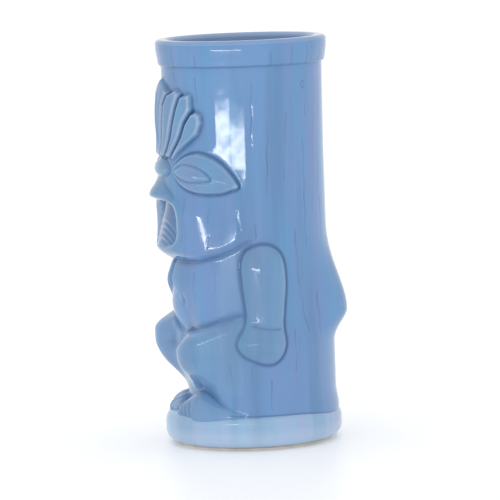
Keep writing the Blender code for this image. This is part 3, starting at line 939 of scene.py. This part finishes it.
def make_band():
    """Lip band: grooved like the trunk, with a rounded lip and a softened inner edge."""
    low = np.array([BAND_BOTTOM, BAND_BOTTOM + 0.02, BAND_BOTTOM + 0.2, BAND_BOTTOM + 0.6])
    low_radius = np.array([TRUNK_R + 0.4, TRUNK_R + 0.9, BAND_R - 1.45, BAND_R - 1.1])
    side = np.linspace(BAND_BOTTOM + 1.1, TOP - LIP, 18)
    side_radius = BAND_R - BAND_TAPER * ramp(side, TOP - 3, BAND_BOTTOM)
    out_r, out_z = arc(BAND_R - LIP, TOP - LIP, LIP, 8, 90, 9)
    in_r, in_z = arc(CUP_R + LIP, TOP - LIP, LIP, 100, 180, 9)
    inner_z = np.linspace(TOP - LIP - 0.8, BAND_BOTTOM, 6)
    parts_r = [low_radius, side_radius, out_r, in_r, np.full(len(inner_z), CUP_R)]
    height = np.concatenate([low, side, out_z, in_z, inner_z])
    radius = np.concatenate(parts_r)[:, None] + np.zeros(len(turns))
    lip_start = len(low) + len(side)
    outside = np.arange(len(height)) < lip_start
    cut = np.zeros(radius.shape)
    for turn, part in band_lines():
        top = BAND_BOTTOM + 1 + part * BAND_GRAIN_RISE
        centre = turn + 0.3 * np.sin(height[:, None] * 0.7)
        fade = ramp(height, top, top - 1.5)[:, None] * outside[:, None]
        cut = with_line(cut, centre, fade)
    radius = radius - cut + 0.5 * waviness(turns, height[:, None]) * outside[:, None]
    glaze_and_painted_light = GRAIN_POOL * cut
    # Painted shade on the underside of the band's step.
    glaze_and_painted_light[: len(low)] += 0.5
    glaze_and_painted_light[lip_start : lip_start + len(out_z)] -= 0.5
    # Painted light on the lining: palest near the lip, fading down into the cup.
    lining = ~outside & (radius[:, 0] < CUP_R + 1)
    glaze_and_painted_light[lining] = PALEST_PAINTED_LIGHT * ramp(height[lining], BAND_BOTTOM, TOP - 2)[:, None]
    return turned_piece("rim_band", radius, height, glaze_and_painted_light)


# The plinth's columns, the size of its round bottom edge, and its floor's height over the
# underside with the size of the bend up to the wall.
PLINTH_COLUMNS = 480
PLINTH_EDGE = 5
FLOOR = 4.55
FLOOR_BEND = 4.0


def make_plinth():
    """Foot disc: a flat underside, rounded edges, and the cup's floor in its well."""
    width = PLINTH_COLUMNS
    around = np.arange(width) * 360 / width - 180
    edge_r, edge_z = arc(FOOT_R - PLINTH_EDGE, LEDGE_UNDER + 4.35, PLINTH_EDGE, -60, 0, 10)
    side_z = np.linspace(LEDGE_UNDER + 5.0, LEDGE - 6, 4)
    top_z = LEDGE - 5.5 * (1 - np.sin(np.linspace(0, math.pi / 2, 18)))
    outer_z = np.concatenate([edge_z, side_z, top_z])
    outer_r = foot_edge(outer_z[:, None], around)
    outer_r[: len(edge_r)] = edge_r[:, None]
    well = cup_radius(around, LEDGE)
    bend = np.linspace(0, math.pi / 2, 7)
    well_r = np.stack([well - FLOOR_BEND * (1 - math.cos(t)) for t in bend])
    well_z = LEDGE_UNDER + FLOOR + FLOOR_BEND * (1 - np.sin(bend))
    under = np.full((1, width), RING_IN - 6.0)
    radius = np.concatenate([under, outer_r, well[None], well_r])
    height = np.concatenate([[LEDGE_UNDER], outer_z, [LEDGE], well_z])
    wave = 0.05 * np.sin(np.radians(around) * 5 + 1) + 0.04 * np.sin(np.radians(around) * 9)
    radius[1 : len(outer_z)] += wave * ramp(height[1 : len(outer_z)], 1.8, 5)[:, None] - 0.09
    # Painted reflection of the white table: the plinth grows paler towards its bottom.
    painted_table_reflection = PALEST_PAINTED_LIGHT * ramp(height, LEDGE - 2, LEDGE_UNDER + 2)[:, None] + np.zeros(width)
    return turned_piece("plinth", radius, height, painted_table_reflection, closed=False, caps=True)


def make_foot_ring():
    """Bare ground ring under the plinth, with its edges worn round."""
    worn = 0.5
    columns = 240
    out_r, out_z = arc(RING_OUT - worn, worn, worn, 0, -90, 5)
    in_r, in_z = arc(RING_IN + worn, worn, worn, -90, -180, 5)
    radius = np.concatenate([[RING_OUT], out_r, in_r, [RING_IN]])[::-1]
    height = np.concatenate([[RING_TOP + 0.4], out_z, in_z, [RING_TOP + 0.4]])[::-1]
    wave = 0.12 * np.sin(np.radians(np.arange(columns) * 360 / columns) * 7)
    return turned_piece("foot_ring", radius[:, None] + wave, height)


# ---- materials

# Colours are linear.
BLUE = (0.134, 0.272, 0.51)
RELIEF_BLUE = (0.146, 0.287, 0.495)
# The plinth's blue is lighter than BLUE: its glaze with a painted reflection of the white table.
FOOT_BLUE_WITH_TABLE_REFLECTION = (0.29, 0.44, 0.64)
# Where the glaze pools deep, and the colour of the painted shade.
DEEP_GLAZE_AND_SHADE = (0.05, 0.125, 0.29)
# Where the glaze runs thinner on edges, and the colour of painted light and painted reflection.
THIN_GLAZE_AND_LIGHT = (0.55, 0.62, 0.76)
CLAY = (0.74, 0.71, 0.65)
CLAY_TAN = (0.60, 0.53, 0.44)
CLAY_GRIT = (0.42, 0.36, 0.30)


def new_material(name):
    material = bpy.data.materials.new(name)
    material.use_nodes = True
    tree = material.node_tree
    return material, tree, tree.nodes["Principled BSDF"]


def add(tree, kind, **settings):
    """A new node, with its sockets and settings given by name."""
    node = tree.nodes.new(kind)
    for key, value in settings.items():
        if key in node.inputs:
            node.inputs[key].default_value = value
        else:
            setattr(node, key, value)
    return node


def noise(tree, scale, stretch, detail):
    """Noise over the object's own coordinates, stretched along its height."""
    place = add(tree, "ShaderNodeTexCoord")
    mapping = add(tree, "ShaderNodeMapping")
    mapping.inputs["Scale"].default_value = (1, 1, 1 / stretch)
    texture = add(tree, "ShaderNodeTexNoise", Scale=scale, Detail=detail)
    tree.links.new(place.outputs["Object"], mapping.inputs["Vector"])
    tree.links.new(mapping.outputs["Vector"], texture.inputs["Vector"])
    return texture.outputs["Fac"]


def mix(tree, factor, first, second):
    """Colour between two, each of them a socket or a plain colour."""
    node = tree.nodes.new("ShaderNodeMix")
    node.data_type = "RGBA"
    for index, value in ((0, factor), (6, first), (7, second)):
        socket = node.inputs[index]
        if isinstance(value, bpy.types.NodeSocket):
            tree.links.new(value, socket)
        else:
            socket.default_value = (*value, 1)
    return node.outputs[2]


def scaled(tree, value, low, high, to_low=0.0, to_high=1.0):
    """The value's range from low to high stretched to another range, and held inside it."""
    node = add(tree, "ShaderNodeMapRange")
    numbers = {"From Min": low, "From Max": high, "To Min": to_low, "To Max": to_high}
    for socket, number in numbers.items():
        node.inputs[socket].default_value = number
    tree.links.new(value, node.inputs["Value"])
    return node.outputs["Result"]


def tinted(colour, red, green, blue):
    return tuple(c * f for c, f in zip(colour, (red, green, blue)))


def add_bump(tree, shader, height, strength, distance):
    """Fine relief of the surface, this deep in metres."""
    bump = add(tree, "ShaderNodeBump", Strength=strength, Distance=distance)
    tree.links.new(height, bump.inputs["Height"])
    tree.links.new(bump.outputs["Normal"], shader.inputs["Normal"])


def glaze(name, colour, ripple=0.5):
    """Glossy glaze: dark where it pools and where shade is painted, pale where it runs thinner and
    where light or a reflection is painted, with soft streaks.
    """
    material, tree, shader = new_material(name)
    glaze_and_painted_light = add(tree, "ShaderNodeAttribute", attribute_name="glaze_and_painted_light").outputs["Fac"]
    warm = tinted(colour, 1.14, 0.93, 0.96)
    cool = tinted(colour, 0.86, 1.04, 1.02)
    pale = tinted(colour, 1.12, 1.12, 1.12)
    dark = tinted(cool, 0.72, 0.72, 0.72)
    streak = noise(tree, scale=110, stretch=7, detail=4.0)
    cloud = noise(tree, scale=38, stretch=2.5, detail=2.0)
    run = noise(tree, scale=75, stretch=14, detail=3.0)
    base = mix(tree, scaled(tree, streak, 0.35, 0.65), warm, cool)
    base = mix(tree, scaled(tree, cloud, 0.35, 0.65, 0, 0.35), base, pale)
    base = mix(tree, scaled(tree, run, 0.5, 0.66, 0, 0.5), base, dark)
    # Darker where the glaze pools and where painted shade is laid.
    base = mix(tree, scaled(tree, glaze_and_painted_light, 0.05, 0.9, 0, 0.75), base, DEEP_GLAZE_AND_SHADE)
    # Paler where the glaze runs thinner, and where painted light and painted reflection are laid.
    base = mix(tree, scaled(tree, glaze_and_painted_light, -0.25, -1.0, 0, 0.4), base, THIN_GLAZE_AND_LIGHT)
    tree.links.new(base, shader.inputs["Base Color"])
    patch = noise(tree, scale=260, stretch=1.0, detail=2.0)
    tree.links.new(scaled(tree, patch, 0.3, 0.7, 0.05, 0.09), shader.inputs["Roughness"])
    shader.inputs["IOR"].default_value = 1.5
    wave = noise(tree, scale=230, stretch=1.6, detail=1.0)
    add_bump(tree, shader, wave, strength=ripple, distance=0.00005)
    return material


def bare_clay(name):
    """Matt fired clay with a fine grit and faint tan blushes."""
    material, tree, shader = new_material(name)
    blush = noise(tree, scale=120, stretch=1.0, detail=4.0)
    grit = noise(tree, scale=2600, stretch=1.0, detail=2.0)
    base = mix(tree, scaled(tree, blush, 0.35, 0.7), CLAY, CLAY_TAN)
    base = mix(tree, scaled(tree, grit, 0.55, 0.72, 0, 0.5), base, CLAY_GRIT)
    tree.links.new(base, shader.inputs["Base Color"])
    shader.inputs["Roughness"].default_value = 0.85
    grain = noise(tree, scale=1800, stretch=1.0, detail=4.0)
    add_bump(tree, shader, grain, strength=0.6, distance=0.00015)
    return material


def make_materials():
    return {
        "glaze_trunk": glaze("glaze_trunk", BLUE),
        "glaze_relief": glaze("glaze_relief", RELIEF_BLUE),
        "glaze_deep": glaze("glaze_deep", tinted(BLUE, 0.92, 0.92, 0.92)),
        "glaze_foot": glaze("glaze_foot", FOOT_BLUE_WITH_TABLE_REFLECTION, ripple=0.3),
        "bare_clay": bare_clay("bare_clay"),
    }


# ---- stage, light and camera

# Lengths here are in metres, and turns and angles in degrees.
TABLE_HALF = 6.0
# The soft boxes stand this far from the mug's axis. Each has its turn, its lowest and
# highest height, its width and its glow.
BOX_DISTANCE = 0.7
SOFT_BOXES = {
    "box_narrow": (46.6, 0.050, 0.067, 0.25, 20.0),
    "box_wide": (67.0, 0.046, 0.057, 0.24, 20.0),
    "box_low": (54.0, 0.002, 0.048, 0.22, 1.8),
}
CAMERA_TURN = 76.0
CAMERA_DISTANCE = 1.5122
CAMERA_HEIGHT = 0.2516
CAMERA_PITCH = 6.447
CAMERA_ROLL = 2.08
CAMERA_YAW = -0.035
# Focal length and sensor width, in mm.
CAMERA_LENS = 258.1
CAMERA_SENSOR = 36


def make_stage():
    """Flat white table, wide enough to fill every view."""
    mesh = bpy.data.meshes.new("table")
    corners = [(TABLE_HALF * x, TABLE_HALF * y, 0) for x, y in ((-1, -1), (1, -1), (1, 1), (-1, 1))]
    mesh.from_pydata(corners, [], [(0, 1, 2, 3)])
    table = bpy.data.objects.new("table", mesh)
    bpy.context.scene.collection.objects.link(table)
    material, _, shader = new_material("table_white")
    shader.inputs["Base Color"].default_value = (0.96, 0.965, 0.97, 1)
    shader.inputs["Roughness"].default_value = 0.4
    shader.inputs["Specular IOR Level"].default_value = 0.35
    shader.inputs["Emission Color"].default_value = (1, 1, 1, 1)
    shader.inputs["Emission Strength"].default_value = 0.12
    mesh.materials.append(material)


def beside_axis(angle, distance, height):
    return (distance * math.sin(angle), -distance * math.cos(angle), height)


def make_light():
    """White tent all round, and three soft boxes beside the camera."""
    world = bpy.data.worlds.new("tent")
    world.use_nodes = True
    background = world.node_tree.nodes["Background"]
    background.inputs["Color"].default_value = (1, 1, 1, 1)
    background.inputs["Strength"].default_value = 1.0
    bpy.context.scene.world = world
    for name, (turn, low, high, wide, glow) in SOFT_BOXES.items():
        light = bpy.data.lights.new(name, "AREA")
        light.shape = "RECTANGLE"
        light.size, light.size_y = wide, high - low
        light.energy = glow * math.pi * wide * (high - low)
        lamp = bpy.data.objects.new(name, light)
        angle = math.radians(turn)
        lamp.location = beside_axis(angle, BOX_DISTANCE, (low + high) / 2)
        lamp.rotation_euler = (math.radians(90), 0, angle)
        bpy.context.scene.collection.objects.link(lamp)


def make_camera():
    camera = bpy.data.cameras.new("camera")
    camera.lens = CAMERA_LENS
    camera.sensor_width = CAMERA_SENSOR
    camera.clip_end = 20
    holder = bpy.data.objects.new("camera", camera)
    bpy.context.scene.collection.objects.link(holder)
    angle = math.radians(CAMERA_TURN)
    holder.matrix_world = (
        Matrix.Translation(beside_axis(angle, CAMERA_DISTANCE, CAMERA_HEIGHT))
        @ Matrix.Rotation(angle + math.radians(CAMERA_YAW), 4, "Z")
        @ Matrix.Rotation(math.radians(90 - CAMERA_PITCH), 4, "X")
        @ Matrix.Rotation(math.radians(-CAMERA_ROLL), 4, "Z")
    )
    bpy.context.scene.camera = holder


def main():
    bpy.context.scene.view_settings.view_transform = "Standard"
    pieces = make_vessel(sculpt(0.0), sculpt(FAR_KNEE_LIFT))
    pieces["rim_band"] = make_band()
    pieces["plinth"] = make_plinth()
    pieces["foot_ring"] = make_foot_ring()
    materials = make_materials()
    slots = {entry["node"]: entry["material_slot"] for entry in frame["record"]["subparts"]}
    for node, piece in pieces.items():
        piece.name = f"{node}_skin"
        piece.data.materials.append(materials[slots[node]])
        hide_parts(node)
        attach(piece, "root")
    make_stage()
    make_light()
    make_camera()


main()
